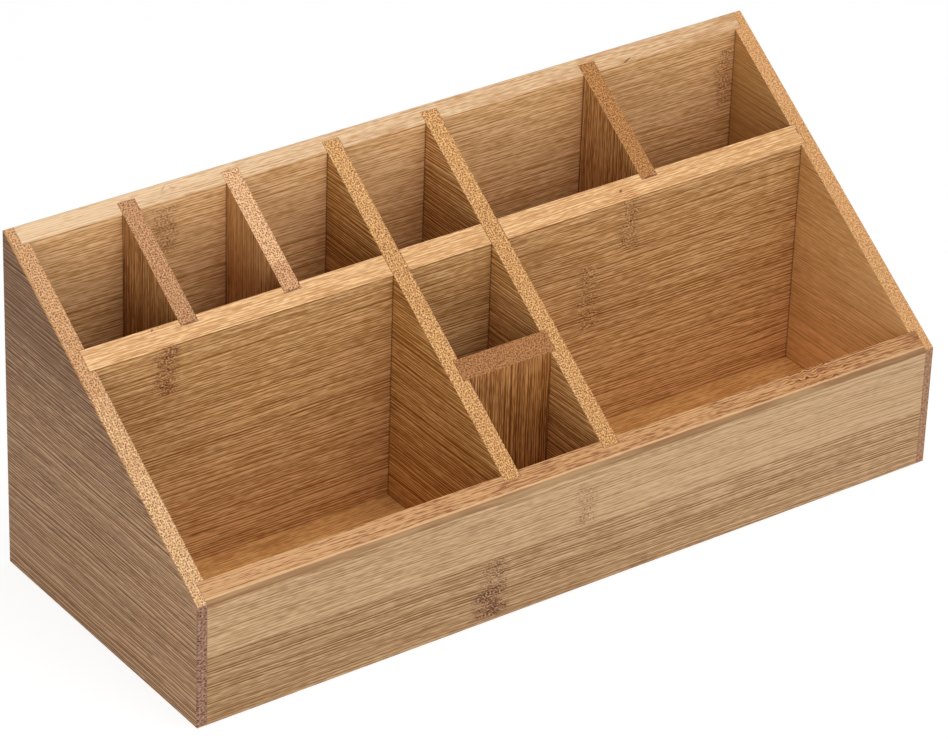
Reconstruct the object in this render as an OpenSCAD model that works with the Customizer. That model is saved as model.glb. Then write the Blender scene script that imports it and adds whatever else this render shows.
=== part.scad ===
// Sloping desk organizer of glued bamboo boards: two rows of open compartments
// between two tall sides. The front is low, the back is tall, and one straight
// slope runs over the top of every upright. All joints are housings, rabbets
// and cross-laps, glued. Nothing moves.

/* [Compartments] */
// Clear width of the narrow compartment beside the left side
end_bay_w = 38; // [34:0.5:44]
// Clear width of each of the next three narrow compartments
narrow_bay_w = 36.2; // [32:0.1:44]
// Clear width of each of the two wide compartments at the right
wide_bay_w = 64.7; // [54:0.1:80]
// Clear depth of the back row
back_row_d = 36; // [30:0.5:50]
// Clear depth of the front row
front_row_d = 69; // [54:0.5:90]

/* [Heights] */
// Height of the slope at the front face
front_h = 50; // [42:0.5:62]
// Height of the slope at the back face
back_h = 138; // [115:0.5:165]
// Height of the bottom panel's underside above the table
floor_lift = 5.5; // [4:0.5:9]

/* [Boards] */
// Thickness of every upright board
board_t = 7; // [6:0.1:9]
// Thickness of the bottom panel
floor_t = 5; // [4:0.1:7]

/* [Joints] */
// Depth of the rabbets in the sides that take the front and back panels
rabbet_d = 3; // [2:0.1:4]
// Depth of the groove that holds the bottom panel
groove_d = 3; // [2:0.1:4]
// Depth of the housings in the sides, middle wall, front panel and long dividers
housing_d = 2.2; // [1.5:0.1:2.8]
// Depth of the housings in the back panel
back_housing_d = 3.8; // [2.5:0.1:4.5]
// Room for glue on every joint face
glue_gap = 0.1; // [0.05:0.01:0.2]

/* [Eased edges] */
// Radius sanded on the outer edges
edge_r = 1.2; // [0.6:0.1:2]
// Radius at the top of the front, where the slope meets the front face
nose_r = 2; // [1:0.1:3]
// Radius at the lower back corner of the sides
heel_r = 3; // [1.5:0.1:5]

/* [Hidden] */
$fn = 64;

// How far a cut runs past the face that it opens
overrun = 2;
// How far in a sanded corner's centre lies, as a share of its radius: just under one,
// so that the arc crosses both faces at a clean angle, as a hand-sanded edge does
inset_share = 0.97;
// Where the front divider stands, as a share of the front row's depth
front_split_share = 0.5;
// Height of the cross-laps, as a share of the middle wall's height above the floor
lap_share = 0.5;

// Left faces of the uprights, from left to right
rear_left_x = board_t + end_bay_w;
rear_centre_x = rear_left_x + board_t + narrow_bay_w;
long_left_x = rear_centre_x + board_t + narrow_bay_w;
long_right_x = long_left_x + board_t + narrow_bay_w;
rear_right_x = long_right_x + board_t + wide_bay_w;
right_side_x = rear_right_x + board_t + wide_bay_w;
overall_w = right_side_x + board_t;

// Front faces of the uprights that run across, from front to back
middle_wall_y = board_t + front_row_d;
middle_wall_back_y = middle_wall_y + board_t;
back_panel_y = middle_wall_back_y + back_row_d;
overall_d = back_panel_y + board_t;
front_divider_y = board_t + (front_row_d - board_t) * front_split_share;

// Heights
floor_top_z = floor_lift + floor_t;
slope_rise = (back_h - front_h) / overall_d;
slope_angle = atan(slope_rise);
slope_len = overall_d / cos(slope_angle);
function slope_z(y) = front_h + slope_rise * y;
upright_base_z = floor_top_z + glue_gap;
lap_z = floor_top_z + (slope_z(middle_wall_y + board_t / 2) - floor_top_z) * lap_share;

// What is left of a side behind its rabbets
side_lip = board_t - rabbet_d;

// Tones of the boards
end_grain_tone = [0.86, 0.66, 0.45];
face_tone = [0.74, 0.55, 0.36];
panel_tone = [0.78, 0.60, 0.41];
floor_tone = [0.72, 0.48, 0.28];

function unit(v) = v / norm(v);

// The waste outside a round corner: the tip beyond the arc, with room to spare
module corner_waste(before, corner, after, r) {
    towards_before = unit(before - corner);
    towards_after = unit(after - corner);
    half_angle = acos(towards_before * towards_after) / 2;
    inset = r * inset_share;
    centre = corner + unit(towards_before + towards_after) * inset / sin(half_angle);
    difference() {
        polygon([
            corner + towards_before * inset / tan(half_angle),
            centre,
            corner + towards_after * inset / tan(half_angle),
            corner + unit(corner - centre) * overrun
        ]);
        translate(centre) circle(r);
    }
}

// A closed outline whose corners are rounded, each by its own radius
module eased_outline(points, radii) {
    count = len(points);
    difference() {
        polygon(points);
        for (i = [0 : count - 1])
            corner_waste(points[(i + count - 1) % count], points[i], points[(i + 1) % count], radii[i]);
    }
}

// The organizer seen from the side: low front, tall back and the slope between them
module profile() {
    eased_outline(
        [[0, 0], [overall_d, 0], [overall_d, back_h], [0, front_h]],
        [edge_r, heel_r, edge_r, nose_r]);
}

// Carries an outline in depth and height across the width, from x0 to x1
module across(x0, x1) {
    translate([x0, 0, 0])
        rotate([90, 0, 90])
            linear_extrude(x1 - x0)
                children();
}

// The waste along an upright outer edge of the left side, at depth y
module upright_edge_waste(y, inward) {
    translate([0, y, -overrun])
        linear_extrude(back_h + 2 * overrun)
            corner_waste([0, inward], [0, 0], [board_t, 0], edge_r);
}

// The waste along the outer edges of the left side: front, back, foot and slope
module side_edge_waste() {
    upright_edge_waste(0, board_t);
    upright_edge_waste(overall_d, -board_t);
    translate([0, overall_d + overrun, 0])
        rotate([90, 0, 0])
            linear_extrude(overall_d + 2 * overrun)
                corner_waste([0, board_t], [0, 0], [board_t, 0], edge_r);
    translate([0, 0, front_h])
        rotate([slope_angle, 0, 0])
            translate([0, slope_len + overrun, 0])
                rotate([90, 0, 0])
                    linear_extrude(slope_len + 2 * overrun)
                        corner_waste([0, -board_t], [0, 0], [board_t, 0], edge_r);
}

// An upright between the given faces, from height z up to the slope
module upright(x0, x1, y0, y1, z) {
    across(x0, x1)
        polygon([[y0, z], [y1, z], [y1, slope_z(y1)], [y0, slope_z(y0)]]);
}

// The room that an upright needs in the board that houses it, open at the top
module housing(x0, x1, y0, y1) {
    translate([x0, y0, floor_top_z])
        cube([x1 - x0, y1 - y0, back_h]);
}

// The groove for the bottom panel, as one slab that reaches into all four walls
module floor_groove() {
    inset = board_t - groove_d;
    translate([inset, inset, floor_lift - glue_gap])
        cube([overall_w - 2 * inset, overall_d - 2 * inset, floor_t + 2 * glue_gap]);
}

// The middle wall's housing in both sides
module middle_wall_housing() {
    housing(
        board_t - housing_d, overall_w - board_t + housing_d,
        middle_wall_y - glue_gap, middle_wall_back_y + glue_gap);
}

// The housings of a divider whose left face is at x, between the walls y0 and y1
module divider_housing(x, y0, y1) {
    housing(x - glue_gap, x + board_t + glue_gap, y0, y1);
}

// One side: full depth, grain from front to back, rabbeted inside at both ends
module side_board() {
    difference() {
        across(0, board_t) profile();
        side_edge_waste();
        translate([side_lip, -overrun, -overrun])
            cube([rabbet_d + overrun, board_t + glue_gap + overrun, back_h + 2 * overrun]);
        translate([side_lip, back_panel_y - glue_gap, -overrun])
            cube([rabbet_d + overrun, board_t + glue_gap + overrun, back_h + 2 * overrun]);
        floor_groove();
        middle_wall_housing();
    }
}

module left_side() {
    color(face_tone) centred() side_board();
}

module right_side() {
    color(face_tone) centred() translate([overall_w, 0, 0]) mirror([1, 0, 0]) side_board();
}

// The slice of the profile from depth y0 to y1, long enough for both rabbets
module end_panel(y0, y1) {
    end_x = side_lip + glue_gap;
    across(end_x, overall_w - end_x)
        intersection() {
            profile();
            translate([y0, -overrun]) square([y1 - y0, back_h + 2 * overrun]);
        }
}

// The low front panel, housed for the two long dividers
module front_panel() {
    color(panel_tone) centred()
        difference() {
            end_panel(-overrun, board_t);
            floor_groove();
            for (x = [long_left_x, long_right_x])
                divider_housing(x, board_t - housing_d, board_t + overrun);
        }
}

// The tall back panel, housed for all five dividers that reach it
module back_panel() {
    color(panel_tone) centred()
        difference() {
            end_panel(back_panel_y, overall_d + overrun);
            floor_groove();
            for (x = [rear_left_x, rear_centre_x, long_left_x, long_right_x, rear_right_x])
                divider_housing(x, back_panel_y - overrun, back_panel_y + back_housing_d);
        }
}

// The bottom panel, held in the groove of all four walls
module bottom_panel() {
    inset = board_t - groove_d + glue_gap;
    color(floor_tone) centred()
        translate([inset, inset, floor_lift])
            cube([overall_w - 2 * inset, overall_d - 2 * inset, floor_t]);
}

// The wall between the two rows. Its ends sit in the sides, it is notched from
// above where the long dividers cross it, and housed behind for the rear ones.
module middle_wall() {
    end_x = board_t - housing_d + glue_gap;
    color(panel_tone) centred()
        difference() {
            upright(end_x, overall_w - end_x, middle_wall_y, middle_wall_back_y, upright_base_z);
            for (x = [long_left_x, long_right_x])
                translate([x - glue_gap, middle_wall_y - overrun, lap_z])
                    cube([board_t + 2 * glue_gap, board_t + 2 * overrun, back_h]);
            for (x = [rear_left_x, rear_centre_x, rear_right_x])
                divider_housing(x, middle_wall_back_y - housing_d, middle_wall_back_y + overrun);
        }
}

// The room for the front divider in the faces of both long dividers
module front_divider_housing() {
    housing(
        long_left_x + board_t - housing_d, long_right_x + housing_d,
        front_divider_y - glue_gap, front_divider_y + board_t + glue_gap);
}

// A long divider with its left face at x: front panel to back panel, notched
// from below where it crosses the middle wall, so that its top runs unbroken
module long_divider(x) {
    color(end_grain_tone) centred()
        difference() {
            upright(
                x, x + board_t,
                board_t - housing_d + glue_gap, back_panel_y + back_housing_d - glue_gap,
                upright_base_z);
            translate([x - overrun, middle_wall_y - glue_gap, 0])
                cube([board_t + 2 * overrun, board_t + 2 * glue_gap, lap_z + glue_gap]);
            front_divider_housing();
        }
}

module long_divider_left() {
    long_divider(long_left_x);
}

module long_divider_right() {
    long_divider(long_right_x);
}

// A rear divider with its left face at x, from the middle wall to the back panel
module rear_divider(x) {
    color(end_grain_tone) centred()
        upright(
            x, x + board_t,
            middle_wall_back_y - housing_d + glue_gap, back_panel_y + back_housing_d - glue_gap,
            upright_base_z);
}

module rear_divider_left() {
    rear_divider(rear_left_x);
}

module rear_divider_centre() {
    rear_divider(rear_centre_x);
}

module rear_divider_right() {
    rear_divider(rear_right_x);
}

// The short board between the long dividers, which halves the middle of the front row
module front_divider() {
    color(end_grain_tone) centred()
        upright(
            long_left_x + board_t - housing_d + glue_gap, long_right_x + housing_d - glue_gap,
            front_divider_y, front_divider_y + board_t,
            upright_base_z);
}

// Puts the origin under the middle of the organizer
module centred() {
    translate([-overall_w / 2, -overall_d / 2, 0]) children();
}

left_side();
right_side();
front_panel();
back_panel();
bottom_panel();
middle_wall();
long_divider_left();
long_divider_right();
rear_divider_left();
rear_divider_centre();
rear_divider_right();
front_divider();
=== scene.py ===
import math
from collections import namedtuple

import bpy
from mathutils import Matrix, Vector

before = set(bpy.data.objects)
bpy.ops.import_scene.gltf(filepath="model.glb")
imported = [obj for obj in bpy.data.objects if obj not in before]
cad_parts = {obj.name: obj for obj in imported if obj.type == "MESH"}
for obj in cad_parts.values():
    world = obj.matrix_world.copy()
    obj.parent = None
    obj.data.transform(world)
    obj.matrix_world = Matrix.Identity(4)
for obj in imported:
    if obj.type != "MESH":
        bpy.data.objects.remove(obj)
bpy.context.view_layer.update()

# Left side
# A tall board of bamboo strips glued edge to edge, fibres from front to back. Its slope and its
# ends are cut across the fibres, so they show dotted end grain. It is rabbeted for the front
# and back panels, glued to them and sanded matt.

MM = 1000.0


class Field:
    """A number, vector or colour that varies over the wood. Sums of fields add Math nodes."""

    def __init__(self, tree, socket=None):
        self.tree = tree
        self.socket = socket

    def node(self, kind, settings, inputs, output=0):
        """Any other node, by its type, its settings and the values or fields of its sockets."""
        made = self.tree.nodes.new(kind)
        for name, value in settings.items():
            setattr(made, name, value)
        for name, value in inputs.items():
            if isinstance(value, Field):
                self.tree.links.new(value.socket, made.inputs[name])
            else:
                made.inputs[name].default_value = value
        return Field(self.tree, made.outputs[output] if made.outputs else None)

    def other(self, output):
        """Another output of the node that this field comes from."""
        return Field(self.tree, self.socket.node.outputs[output])

    def math(self, operation, first, second=0.0):
        return self.node("ShaderNodeMath", {"operation": operation}, {0: first, 1: second})

    def __add__(self, other):
        return self.math("ADD", self, other)

    def __sub__(self, other):
        return self.math("SUBTRACT", self, other)

    def __rsub__(self, other):
        return self.math("SUBTRACT", other, self)

    def __mul__(self, other):
        return self.math("MULTIPLY", self, other)

    def __truediv__(self, other):
        return self.math("DIVIDE", self, other)

    def __rtruediv__(self, other):
        return self.math("DIVIDE", other, self)

    def __pow__(self, other):
        return self.math("POWER", self, other)

    __radd__ = __add__
    __rmul__ = __mul__

    def size(self):
        """How large it is, whatever its sign."""
        return self.math("ABSOLUTE", self)

    def step(self, low, high):
        """0 below low, 1 above high and smooth between."""
        return self.node(
            "ShaderNodeMapRange", {"interpolation_type": "SMOOTHSTEP"},
            {"Value": self, "From Min": low, "From Max": high})

    def near(self, place, core, reach):
        """1 within core of a place, 0 beyond reach of it and smooth between."""
        return 1 - (self - place).size().step(core, reach)

    def swing(self, amount):
        """A pattern from 0 to 1, turned into one that goes as far below zero as above it."""
        return (self - 0.5) * amount

    def at_least(self, least):
        """A pattern from 0 to 1, turned into one from least to 1."""
        return self * (1 - least) + least

    def split(self):
        """The three parts of a vector or a colour."""
        first = self.node("ShaderNodeSeparateXYZ", {}, {"Vector": self})
        return first, first.other("Y"), first.other("Z")

    def mixed(self, first, second):
        """From the first colour to the second as the field goes from 0 to 1."""
        return self.node(
            "ShaderNodeMix", {"data_type": "RGBA", "clamp_factor": True},
            {0: self, 6: first, 7: second}, 2)

    def darkened(self, colour, by):
        """The colour multiplied by another one as the field goes from 0 to 1."""
        return self.node(
            "ShaderNodeMix", {"data_type": "RGBA", "blend_type": "MULTIPLY", "clamp_factor": True},
            {0: self, 6: colour, 7: by}, 2)


def paint(red, green, blue):
    """A colour as a screen shows it, each part from 0 to 255, as a shader needs it. The numbers
    are those of the curve that every screen uses."""
    linear = [((part / 255 + 0.055) / 1.055) ** 2.4 for part in (red, green, blue)]
    return (*linear, 1.0)


class Board:
    """The bamboo of one board. All lengths in it are in millimetres.

    at is where a point lies on each axis of the organizer. along, width and depth are the same
    place in the board: along the fibres, across them in the wide face, and through the board.
    end, edge, square_end and face are 1 on these surfaces and 0 elsewhere: an end across the
    fibres, any narrow edge, an end cut square and not on the slope, and a wide face. knot is 1
    in a knot, if the board has any."""

    def __init__(self, name, grain, across, seed, tilt):
        through = ({"x", "y", "z"} - {grain, across}).pop()
        self.material = bpy.data.materials.new(name)
        self.material.use_nodes = True
        self.material.node_tree.nodes.clear()
        self.wood = Field(self.material.node_tree)
        self.seed = seed

        place = self.wood.node("ShaderNodeTexCoord", {}, {}, "Object")
        self.at = {axis: metres * MM for axis, metres in zip("xyz", place.split())}
        self.along = self.at[grain]
        self.width = self.at[across] + self.along * tilt
        self.depth = self.at[through]

        # The steps start where a surface has turned far enough to show that kind of cut
        facing = dict(zip("xyz", place.other("Normal").split()))
        upward = facing["z"].size()
        self.end = facing[grain].size().step(0.25, 0.5)
        self.edge = self.end.math("MAXIMUM", self.end, upward.step(0.3, 0.6))
        self.square_end = self.end * (1 - upward.step(0.3, 0.5))
        self.face = 1 - self.edge
        self.knot = 0.0

    def streaks(self, length, thickness, detail=0.0, roughness=0.5, shift=0.0):
        """Cloudy streaks, so long along the fibres and so thick across them. Another shift takes
        them from another place."""
        spot = self.wood.node("ShaderNodeCombineXYZ", {}, {
            0: self.culm / length, 1: self.layers / thickness + shift})
        return self.wood.node(
            "ShaderNodeTexNoise", {"noise_dimensions": "2D"},
            {"Vector": spot, "Scale": 1.0, "Detail": detail, "Roughness": roughness})

    def threads(self):
        """The thinnest long streaks, the fibres themselves."""
        return self.streaks(length=16.0, thickness=0.62, shift=5.0).step(0.30, 0.70)

    def lay_strips(self, strips):
        """Finds the strip that a point lies in, how pale it is, how strong its dark lines are,
        and the fine glue seams. Each strip is from another place in the culm, and its fibres
        wander a little."""
        self.strip = self.seed
        _, self.tone, self.lines = strips[0]
        self.seams = 0.0
        for (border, tone, lines), (_, next_tone, next_lines) in zip(strips, strips[1:]):
            above = self.width.math("GREATER_THAN", self.width, border)
            self.strip = self.strip + above
            self.tone = self.tone + above * (next_tone - tone)
            self.lines = self.lines + above * (next_lines - lines)
            self.seams = self.seams + self.width.near(border, core=0.05, reach=0.30)
        culm_apart = 137.0
        layers_apart = 31.0
        layer_slant = 0.8
        self.culm = self.along + self.strip * culm_apart
        self.layers = self.width + self.depth * layer_slant + self.strip * layers_apart
        wander = self.streaks(length=110.0, thickness=40.0, detail=2.0)
        self.layers = self.layers + wander.swing(3.0)

    def fibre_lines(self, pitch, half_width, length, rare, randomness, shift):
        """Dark lines of fibre bundles, about a pitch apart, some darker than others. They come
        and go, and are the rarer the higher rare is."""
        line = self.wood.node(
            "ShaderNodeTexVoronoi", {"voronoi_dimensions": "1D"},
            {"W": self.layers / pitch + shift, "Scale": 1.0, "Randomness": randomness}, "Distance")
        luck = line.other("Color").split()[0]
        border = half_width / pitch
        core = 1 - line.step(border * 0.6, border * 1.4)
        stretch = self.streaks(length, pitch, detail=1.0, shift=shift + 11.0)
        return core * luck.at_least(0.3) * stretch.step(rare, rare + 0.2)

    def cut_ends(self, dot_pitch):
        """The end grain: the bundles cut across are dots in the pale, mottled pith. Both are
        coarser where the end is cut square."""
        coarser = self.square_end * 0.8 + 1.0
        pith_pitch = (0.46, 0.62)
        pith_spot = self.wood.node("ShaderNodeCombineXYZ", {}, {
            0: self.width / (coarser * pith_pitch[0]),
            1: self.depth / (coarser * pith_pitch[1]) + self.seed})
        self.pith = self.wood.node(
            "ShaderNodeTexNoise", {"noise_dimensions": "2D"},
            {"Vector": pith_spot, "Scale": 1.0, "Detail": 1.0})
        strips_apart = 5.0
        dot_spot = self.wood.node("ShaderNodeCombineXYZ", {}, {
            0: self.width / (coarser * dot_pitch[0]) + self.strip * strips_apart,
            1: self.depth / (coarser * dot_pitch[1])})
        dot = self.wood.node(
            "ShaderNodeTexVoronoi", {"voronoi_dimensions": "2D"},
            {"Vector": dot_spot, "Scale": 1.0, "Randomness": 0.65}, "Distance")
        luck = dot.other("Color").split()[2]
        self.dots = (1 - dot.step(0.22, 0.48)) * luck.at_least(0.4)

    def with_cut_ends(self, colour, square_cut, dots):
        """The dots, and the browner colour of an end cut square."""
        dot_brown = paint(136, 98, 20)
        square_pale, square_deep = square_cut
        mottled = (self.pith.swing(2.0) + 0.5).mixed(square_deep, square_pale)
        colour = self.square_end.mixed(colour, mottled)
        return (self.dots * self.end * dots).darkened(colour, dot_brown)

    def with_painted_corner_shade(self, colour, joints):
        """A thin line of painted shade where another board meets this one inside the box."""
        inside_x = 156.0
        inside_y = 56.5
        soft = 0.2
        inside = self.at["x"].near(0.0, core=inside_x - soft, reach=inside_x + soft)
        inside = inside * self.at["y"].near(0.0, core=inside_y - soft, reach=inside_y + soft)
        hairline = 0.0
        for axis, places in joints.items():
            for place in places:
                hairline = hairline + self.at[axis].near(place, core=0.15, reach=0.60)
        shade_brown = paint(126, 88, 58)
        return (hairline * inside * self.face * 0.42).darkened(colour, shade_brown)


def bamboo(name, grain, across, seed, face, edge, strips, tilt=0.0, drift=(0.0, 0.0),
           fibres=1.0, edge_fibres=1.0, dots=1.0, dot_pitch=(0.54, 0.80),
           square_cut=(paint(206, 160, 116), paint(160, 116, 80)),
           joints=None, knots=None, worn=()):
    """The finish of one board of glued bamboo strips.

    grain and across are the axes along the fibres and across them in the wide face, and another
    seed makes another piece of bamboo. face, edge and square_cut are the palest and the deepest
    colour of the wide faces, of the narrow edges and of ends cut square. strips lists for each
    strip its upper border in millimetres, its tone from 0, deep, to 1, pale, and how strong its
    dark lines are. tilt is the slope of the seams, and drift what the tones of faces and edges
    gain in 160 mm along the fibres. fibres and edge_fibres are how lively the streaks are, dots
    how dark the dots, and dot_pitch how far apart they are. joints gives for each axis the faces
    of the boards that meet this one, and worn lists what marks it on top of all that."""
    board = Board(name, grain, across, seed, tilt)
    board.lay_strips(strips)
    if knots:
        knots.bend_fibres(board)
    board.cut_ends(dot_pitch)
    broad = board.streaks(length=140.0, thickness=8.0, detail=1.0)
    band = board.streaks(length=50.0, thickness=1.1, detail=2.0, roughness=0.6, shift=3.0)
    thread = board.threads()
    dash = board.streaks(length=4.0, thickness=0.55, shift=29.0).step(0.28, 0.72)

    # How far the streaks take the tone from its strip's: most on faces and edges, hardly at an
    # end, where the pith mottles it instead
    cloud = broad.swing(0.7) + band.swing(0.35) + thread.swing(0.75) + dash.swing(0.6)
    cloud = cloud * (board.edge * (edge_fibres - fibres) + fibres) * (1 - board.end * 0.9)
    cloud = cloud + board.pith.step(0.34, 0.66).swing(1.6) * board.end

    # The edges are a cut through other layers of the culm, so they have colours of their own
    drift_length = 160.0
    face_tone = board.tone + cloud + board.along * (drift[0] / drift_length)
    edge_tone = board.tone + cloud + board.along * (drift[1] / drift_length)
    face_pale, face_deep = face
    edge_pale, edge_deep = edge
    colour = board.edge.mixed(
        face_tone.mixed(face_deep, face_pale), edge_tone.mixed(edge_deep, edge_pale))

    # The dark lines: on the faces strong and fine ones, as strong as the strip says, and a trace
    # of the fine ones and the seams in every strip. On the edges there are fine ones alone.
    strong = board.fibre_lines(
        pitch=2.9, half_width=0.14, length=55.0, rare=0.28, randomness=1.0, shift=0.0)
    fine = board.fibre_lines(
        pitch=1.05, half_width=0.20, length=18.0, rare=0.22, randomness=0.6, shift=40.0)
    face_line = (strong + fine * 0.9) * (board.lines * 1.15) + fine * 0.15 + board.seams * 0.3
    edge_line = fine * edge_fibres * (board.knot * 0.5 + 0.4)
    line = (face_line + (edge_line - face_line) * board.edge) * (1 - board.end)
    fibre_brown = paint(168, 130, 52)
    colour = line.darkened(colour, fibre_brown)

    if knots:
        colour = knots.over(board, colour, face_pale)
    colour = board.with_cut_ends(colour, square_cut, dots)
    # Painted shade: a thin dark line in the inner corners where other boards meet this one
    if joints:
        colour = board.with_painted_corner_shade(colour, joints)
    for trace in worn:
        colour = trace.over(board, colour)

    # Sanded and matt: lines and dots lie a little low, and the pale bands shine a little less
    relief = (thread * 0.5 - line) * (1 - board.end) - board.dots * board.end * 0.6
    normal = board.wood.node(
        "ShaderNodeBump", {}, {"Strength": 0.25, "Distance": 0.1 / MM, "Height": relief}, "Normal")
    roughness = band.swing(0.25) + line * 0.1 + 0.50
    surface = board.wood.node(
        "ShaderNodeBsdfPrincipled", {},
        {"Base Color": colour, "Roughness": roughness, "Normal": normal, "Specular IOR Level": 0.4})
    board.wood.node("ShaderNodeOutputMaterial", {}, {"Surface": surface})
    return board.material


def fit(node, material):
    """Gives a board its finish and takes the sharpness off its edges."""
    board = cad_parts[node]
    board.data.materials.clear()
    board.data.materials.append(material)
    weld = board.modifiers.new("joined faces", "WELD")
    weld.merge_threshold = 0.01 / MM
    eased = board.modifiers.new("eased edges", "BEVEL")
    eased.width = 0.12 / MM
    eased.segments = 2
    eased.limit_method = "ANGLE"
    eased.angle_limit = math.radians(40)
    eased.harden_normals = True


# What meets the sides and the long dividers: both panels, the middle wall, the bottom panel
panel_inner_y = 56.0
wall_front_y = 13.0
wall_back_y = 20.0
floor_top = 10.5
crossing_boards = {
    "y": (-panel_inner_y, wall_front_y, wall_back_y, panel_inner_y),
    "z": (floor_top,)}

fit("left_side", bamboo(
    "bamboo left side", grain="y", across="z", seed=11.0,
    face=(paint(205, 163, 119), paint(155, 113, 72)),
    edge=(paint(245, 202, 149), paint(214, 158, 103)),
    square_cut=(paint(192, 150, 122), paint(140, 100, 78)),
    strips=((21.0, 1.05, 1.7), (43.0, 0.85, 1.7), (79.0, 0.76, 1.7), (98.0, 0.36, 1.7),
            (None, -0.2, 1.7)),
    joints=crossing_boards))

# Right side
# The mirror image of the left side, sawn, rabbeted and glued on in the same way, but from
# paler and calmer bamboo strips that turn deeper towards the back.
fit("right_side", bamboo(
    "bamboo right side", grain="y", across="z", seed=23.0,
    face=(paint(250, 204, 142), paint(207, 156, 92)),
    edge=(paint(240, 186, 126), paint(212, 152, 94)),
    square_cut=(paint(206, 158, 120), paint(160, 114, 82)),
    strips=((30.0, 0.80, 0.3), (58.0, 0.52, 0.4), (88.0, 0.42, 0.3), (112.0, 0.32, 0.4),
            (None, 0.4, 0.4)),
    drift=(-1.5, 0.0), fibres=0.5, dots=0.6, joints=crossing_boards))

# Front panel
# The low front board: a pale bamboo strip glued on a browner one, fibres along the width. Its
# ends are glued into the rabbets of the sides. Its top is sanded to the slope, with a
# rounded nose.

# A knot's place along the fibres, its lower and upper end and half its width in millimetres,
# how far its fibres swerve and how brown it is
Knot = namedtuple("Knot", "place low high half_width swerve brown")


class Knots:
    """Where the culm had joints, the fibres swerve and break up into brown specks."""

    def __init__(self, *knots):
        self.knots = knots

    def bend_fibres(self, board):
        """Finds the knots, which have ragged borders, and lets the fibres ripple in them."""
        self.brown = 0.0
        swerve = 0.0
        soft = 1.5
        ragged = board.streaks(length=6.0, thickness=2.4, detail=1.0, shift=61.0).swing(1.6)
        for knot in self.knots:
            half_widths_off = ((board.along - knot.place) / knot.half_width).size() + ragged
            here = 1 - half_widths_off.step(0.35, 1.35)
            here = here * board.width.step(knot.low - soft, knot.low + soft)
            here = here * (1 - board.width.step(knot.high - soft, knot.high + soft))
            board.knot = board.knot + here
            self.brown = self.brown + here * knot.brown
            swerve = swerve + here * knot.swerve
        ripple = board.streaks(length=4.0, thickness=3.0, detail=1.0, shift=7.0)
        board.layers = board.layers + ripple.swing(swerve)

    def over(self, board, colour, pale):
        """Their brown, in patches, and their pale and dark specks. On an edge a knot is only
        more golden than the wood round it."""
        knot_brown = paint(182, 148, 116)
        speck_brown = paint(140, 100, 52)
        golden = paint(235, 200, 150)
        patch = board.streaks(length=5.0, thickness=2.6, detail=1.0, shift=31.0).step(0.3, 0.7)
        patch = patch.at_least(0.5)
        speck = board.streaks(length=0.85, thickness=0.55, shift=17.0)
        pale_speck = board.knot * (1 - speck.step(0.26, 0.42)) * 0.6
        dark_speck = (board.knot * 0.55 + self.brown * 0.4) * speck.step(0.54, 0.70) * patch
        colour = (self.brown * board.face * patch).darkened(colour, knot_brown)
        colour = (pale_speck * board.face).mixed(colour, pale)
        colour = (dark_speck * board.face).darkened(colour, speck_brown)
        return (board.knot * board.edge * (1 - board.end) * 0.35).darkened(colour, golden)


class Nose(namedtuple("Nose", "back low skin_pale skin_deep")):
    """The rounded front edge keeps a little of the brown outer skin of the culm, and just behind
    the skin a thin pale line is painted along the crest. The skin ends at back, a y, and at low, a
    z, in millimetres."""

    def over(self, board, colour):
        crest_pale = paint(236, 192, 142)
        soft = 0.15
        crest = 0.35
        behind = board.at["y"] - self.back
        skin = (1 - behind.step(-soft, soft)) * board.at["z"].step(self.low - soft, self.low + soft)
        skin_cloud = board.streaks(length=60.0, thickness=5.0, detail=1.0, shift=23.0)
        skin_tone = skin_cloud.swing(2.5) + board.threads().swing(0.5) + 0.5
        colour = skin.mixed(colour, skin_tone.mixed(self.skin_deep, self.skin_pale))
        # A thin pale line painted along the crest, just behind the skin
        crest_line = behind.near(crest, core=0.12, reach=0.45) * 0.7
        return crest_line.mixed(colour, crest_pale)


left_end = -162.5
fit("front_panel", bamboo(
    "bamboo front panel", grain="x", across="z", seed=5.0,
    face=(paint(224, 186, 141), paint(173, 133, 87)),
    edge=(paint(216, 164, 109), paint(154, 95, 49)),
    strips=((26.0, 0.44, 0.9), (None, 0.80, 0.4)),
    tilt=0.0123, drift=(0.20, -0.3), fibres=0.65, edge_fibres=1.45,
    worn=(Nose(back=-61.9, low=48.8, skin_pale=paint(182, 144, 98),
               skin_deep=paint(152, 106, 64)),),
    knots=Knots(
        Knot(left_end + 123.5, low=2.0, high=13.5, half_width=6.5, swerve=1.5, brown=1.25),
        Knot(left_end + 125.0, low=13.5, high=25.0, half_width=5.5, swerve=1.5, brown=0.5),
        Knot(left_end + 165.0, low=27.0, high=42.0, half_width=4.5, swerve=1.0, brown=0.22),
        Knot(left_end + 270.4, low=50.5, high=57.0, half_width=13.0, swerve=2.8, brown=0.0))))

# Back panel
# The tall back board of bamboo strips, fibres along the width. Its ends are glued into the
# rabbets of the sides, and its inner face is grooved for the five dividers and the bottom.


class Mark(namedtuple("Mark", "x y half_x half_y skew strength")):
    """A small dark mark on an edge, a nick or a gap in a joint. It is an oval, its middle at x
    and y and its borders half_x and half_y from there, in millimetres, sheared by skew."""

    def over(self, board, colour):
        mark_brown = paint(120, 76, 50)
        off_x = board.at["x"] - self.x
        off_y = board.at["y"] - self.y - off_x * self.skew
        oval = (off_x / self.half_x) ** 2.0 + (off_y / self.half_y) ** 2.0
        dark = (1 - oval.step(0.4, 1.0)) * board.edge * self.strength
        return dark.darkened(colour, mark_brown)


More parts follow.
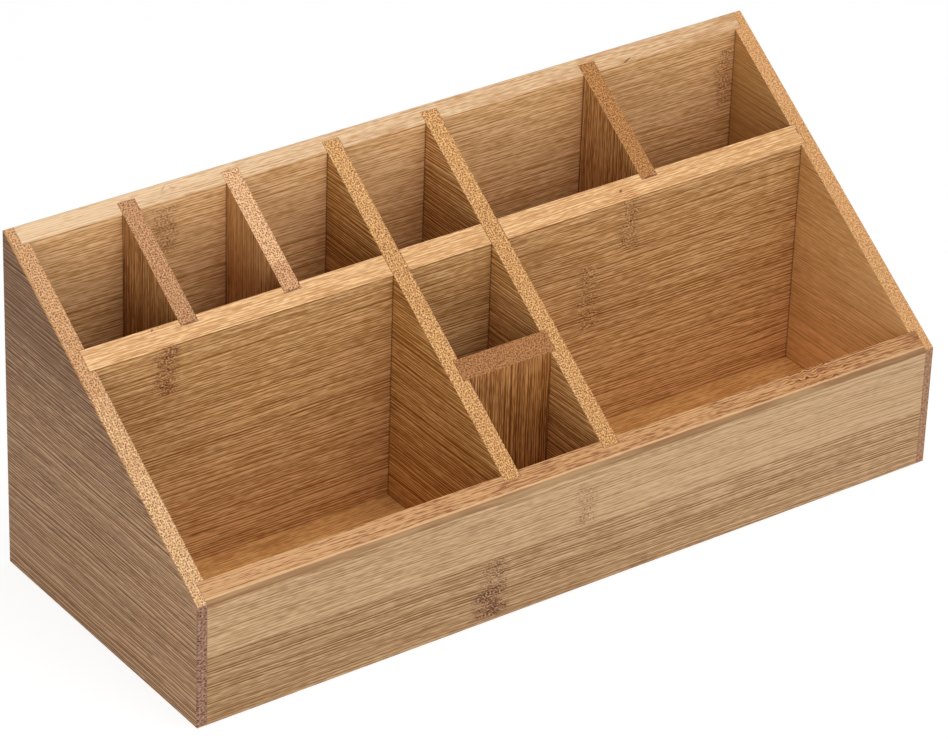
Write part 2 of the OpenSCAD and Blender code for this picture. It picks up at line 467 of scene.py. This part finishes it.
side_inner_x = 155.5
long_divider_faces = (-31.1, -24.1, 12.1, 19.1)
rear_divider_faces = (-117.5, -110.5, -74.3, -67.3, 83.8, 90.8)
fit("back_panel", bamboo(
    "bamboo back panel", grain="x", across="z", seed=8.0,
    face=(paint(252, 203, 148), paint(210, 156, 94)),
    edge=(paint(239, 204, 162), paint(202, 152, 103)),
    strips=((25.0, 0.45, 0.5), (50.0, 0.5, 0.5), (76.0, 0.45, 0.6), (101.0, 0.45, 0.5),
            (None, 0.62, 0.4)),
    drift=(0.0, -0.4), edge_fibres=0.8,
    joints={
        "x": (-side_inner_x, *rear_divider_faces, *long_divider_faces, side_inner_x),
        "z": (floor_top,)},
    knots=Knots(
        Knot(left_end + 62.4, low=112.0, high=131.0, half_width=5.0, swerve=1.0, brown=0.36),
        Knot(left_end + 313.6, low=102.0, high=126.0, half_width=4.0, swerve=1.0, brown=0.42)),
    worn=(
        Mark(left_end + 64.0, 60.0, half_x=1.4, half_y=0.35, skew=0.5, strength=0.35),
        Mark(left_end + 67.5, 59.6, half_x=1.2, half_y=0.3, skew=-0.4, strength=0.3),
        Mark(left_end + 266.7, 56.6, half_x=2.6, half_y=0.35, skew=0.3, strength=0.8))))

# Bottom panel
# A thin bamboo panel that closes all compartments, fibres along the width. It sits in a groove
# that runs round all four walls, a little above the table.
fit("bottom_panel", bamboo(
    "bamboo bottom panel", grain="x", across="y", seed=3.0,
    face=(paint(232, 174, 108), paint(192, 130, 68)),
    edge=(paint(236, 182, 114), paint(194, 135, 73)),
    strips=((-38.0, 0.5, 0.4), (-12.0, 0.6, 0.3), (14.0, 0.45, 0.4), (40.0, 0.55, 0.3),
            (None, 0.5, 0.3))))

# Middle wall
# The bamboo wall between the two rows, housed in both sides and notched from above for the
# long dividers. Its top is sanded to the slope.
fit("middle_wall", bamboo(
    "bamboo middle wall", grain="x", across="z", seed=17.0,
    face=(paint(238, 191, 133), paint(190, 139, 79)),
    edge=(paint(253, 208, 151), paint(214, 157, 99)),
    strips=((29.0, 0.70, 0.8), (54.0, 0.58, 0.8), (80.5, 0.55, 0.9), (None, 0.40, 0.8)),
    edge_fibres=1.2,
    joints={"x": (-side_inner_x, *long_divider_faces, side_inner_x), "z": (floor_top,)},
    knots=Knots(
        Knot(left_end + 36.0, low=84.0, high=104.0, half_width=4.6, swerve=1.4, brown=0.85),
        Knot(left_end + 237.5, low=82.0, high=106.0, half_width=4.6, swerve=1.4, brown=0.42),
        Knot(left_end + 219.5, low=53.0, high=80.0, half_width=5.0, swerve=1.8, brown=0.26)),
    worn=(
        Mark(left_end + 33.8, 19.2, half_x=0.6, half_y=0.4, skew=0.4, strength=0.8),
        Mark(left_end + 36.4, 19.6, half_x=0.4, half_y=0.3, skew=0.0, strength=0.6),
        Mark(left_end + 235.3, 16.4, half_x=0.9, half_y=0.5, skew=0.3, strength=0.8),
        Mark(left_end + 319.5, 17.5, half_x=0.35, half_y=1.6, skew=0.0, strength=0.7))))

# Long dividers
# Two bamboo boards from the front panel to the back panel, fibres from front to back. They
# cross the middle wall in half-lap joints, so that their top edges run unbroken over it.
for hand, seed, face in (
        ("left", 31.0, (paint(231, 183, 116), paint(192, 141, 75))),
        ("right", 37.0, (paint(246, 197, 133), paint(204, 153, 90)))):
    fit(f"long_divider_{hand}", bamboo(
        f"bamboo long divider {hand}", grain="y", across="z", seed=seed, face=face,
        edge=(paint(241, 189, 122), paint(204, 144, 82)),
        strips=((24.0, 0.85, 1.6), (46.0, 0.80, 1.6), (70.0, 0.5, 1.7), (92.0, 0.6, 1.6),
                (114.0, 0.4, 1.7), (None, 0.6, 1.6)),
        joints=crossing_boards))

# Rear dividers
# Three short bamboo boards with upright fibres, glued into housings in the middle wall and in
# the back panel. A dark gap shows on top, where each goes into the wall's housing.
for place, seed, middle_x, edge, strips in (
        ("left", 41.0, -114.0, (paint(216, 161, 110), paint(183, 128, 79)),
         ((38.0, 0.4, 0.8), (None, 0.6, 0.8))),
        ("centre", 43.0, -70.8, (paint(250, 200, 148), paint(206, 148, 100)),
         ((27.6, 0.0, 0.8), (None, 1.0, 0.8))),
        ("right", 47.0, 87.3, (paint(205, 146, 81), paint(175, 115, 57)),
         ((34.0, 0.5, 0.8), (None, 0.5, 0.8)))):
    housing_gap = Mark(middle_x, 18.1, half_x=3.4, half_y=0.28, skew=0.0, strength=0.7)
    fit(f"rear_divider_{place}", bamboo(
        f"bamboo rear divider {place}", grain="z", across="y", seed=seed,
        face=(paint(228, 175, 115), paint(166, 114, 58)), edge=edge,
        strips=strips, dot_pitch=(0.72, 0.85),
        joints={"y": (wall_back_y, panel_inner_y)}, worn=(housing_gap,)))

# Front divider
# The small bamboo board across the front row, with upright fibres. It is glued into housings
# in the inner faces of the two long dividers.
_, narrow_bay_left, narrow_bay_right, _ = long_divider_faces
fit("front_divider", bamboo(
    "bamboo front divider", grain="z", across="x", seed=53.0,
    face=(paint(210, 151, 88), paint(153, 96, 39)),
    edge=(paint(191, 131, 71), paint(162, 104, 51)),
    strips=((-1.0, 0.5, 1.0), (None, 0.6, 1.0)), dot_pitch=(0.85, 0.72),
    joints={"x": (narrow_bay_left, narrow_bay_right)}))

# Floor
# Not part of the organizer: a sheet of white paper, 6 m square, that it stands on. To the
# camera and in reflections most of it glows, so it shows white, and the rest takes the shadow.


def looked_at(shader):
    """1 for what the camera sees, straight or in a reflection, and 0 for the light that falls."""
    camera_ray = shader.node("ShaderNodeLightPath", {}, {}, "Is Camera Ray")
    return camera_ray.math("MAXIMUM", camera_ray, camera_ray.other("Is Glossy Ray"))


reach = 3.0
floor_mesh = bpy.data.meshes.new("floor")
floor_mesh.from_pydata(
    [(-reach, -reach, 0), (reach, -reach, 0), (reach, reach, 0), (-reach, reach, 0)],
    [], [(0, 1, 2, 3)])
floor = bpy.data.objects.new("floor", floor_mesh)
bpy.context.scene.collection.objects.link(floor)
paper = bpy.data.materials.new("white paper sweep")
paper.use_nodes = True
paper.node_tree.nodes.clear()
sweep = Field(paper.node_tree)
paper_white = (0.85, 0.85, 0.85, 1.0)
pure_white = (1.0, 1.0, 1.0, 1.0)
glow_strength = 1.16
glow_share = 0.75
matt = sweep.node("ShaderNodeBsdfDiffuse", {}, {"Color": paper_white})
glow = sweep.node("ShaderNodeEmission", {}, {"Color": pure_white, "Strength": glow_strength})
shown = sweep.node("ShaderNodeMixShader", {}, {
    0: looked_at(sweep) * glow_share, 1: matt, 2: glow})
sweep.node("ShaderNodeOutputMaterial", {}, {"Surface": shown})
floor_mesh.materials.append(paper)

# Light
# A white room that gives a little light from everywhere, softboxes overhead, in front and to
# the right, and a weak one low at the left that lifts the outer face of the left side.
world = bpy.data.worlds.new("white room")
world.use_nodes = True
world.node_tree.nodes.clear()
bpy.context.scene.world = world
room = Field(world.node_tree)
room_light = 0.2
walls = room.node("ShaderNodeBackground", {}, {
    "Color": pure_white, "Strength": looked_at(room).at_least(room_light)})
room.node("ShaderNodeOutputWorld", {}, {"Surface": walls})


def softbox(name, place, size, watts):
    """A square lamp, its place and size in metres, that points at the middle of the part."""
    middle = Vector((0, 0, 0.05))
    lamp = bpy.data.lights.new(name, "AREA")
    lamp.shape = "SQUARE"
    lamp.size = size
    lamp.energy = watts
    box = bpy.data.objects.new(name, lamp)
    box.location = place
    box.rotation_euler = (middle - Vector(place)).to_track_quat("-Z", "Y").to_euler()
    bpy.context.scene.collection.objects.link(box)


softbox("overhead softbox", place=(0.0, 0.0, 0.9), size=0.6, watts=3.5)
softbox("front softbox", place=(0.1, -1.4, 1.1), size=1.0, watts=7.0)
softbox("right softbox", place=(1.1, -1.3, 0.7), size=1.0, watts=5.2)
softbox("low left softbox", place=(-0.55, -0.35, 0.12), size=0.3, watts=0.8)

# Camera
# It stands in front at the left, looks down at the open top, and is turned a little about
# its own axis. Its place, direction and lens were fitted to the corners of the boards.
camera_place = (-0.887293, -1.197423, 0.940445)
azimuth = math.radians(-36.43)
elevation = math.radians(30.563)
roll = math.radians(2.03)
picture_width_px = 948
focal_length_px = 4770.6
forward = Vector((
    -math.sin(azimuth) * math.cos(elevation),
    math.cos(azimuth) * math.cos(elevation),
    -math.sin(elevation)))
level_right = forward.cross(Vector((0, 0, 1))).normalized()
level_up = level_right.cross(forward)
camera_right = level_right * math.cos(roll) + level_up * math.sin(roll)
camera_up = level_up * math.cos(roll) - level_right * math.sin(roll)
lens = bpy.data.cameras.new("camera")
lens.sensor_width = 36.0
lens.lens = focal_length_px / picture_width_px * lens.sensor_width
camera = bpy.data.objects.new("camera", lens)
bpy.context.scene.collection.objects.link(camera)
turn = Matrix((camera_right, camera_up, -forward)).transposed()
camera.matrix_world = Matrix.Translation(camera_place) @ turn.to_4x4()
bpy.context.scene.camera = camera
bpy.context.scene.view_settings.view_transform = "Standard"
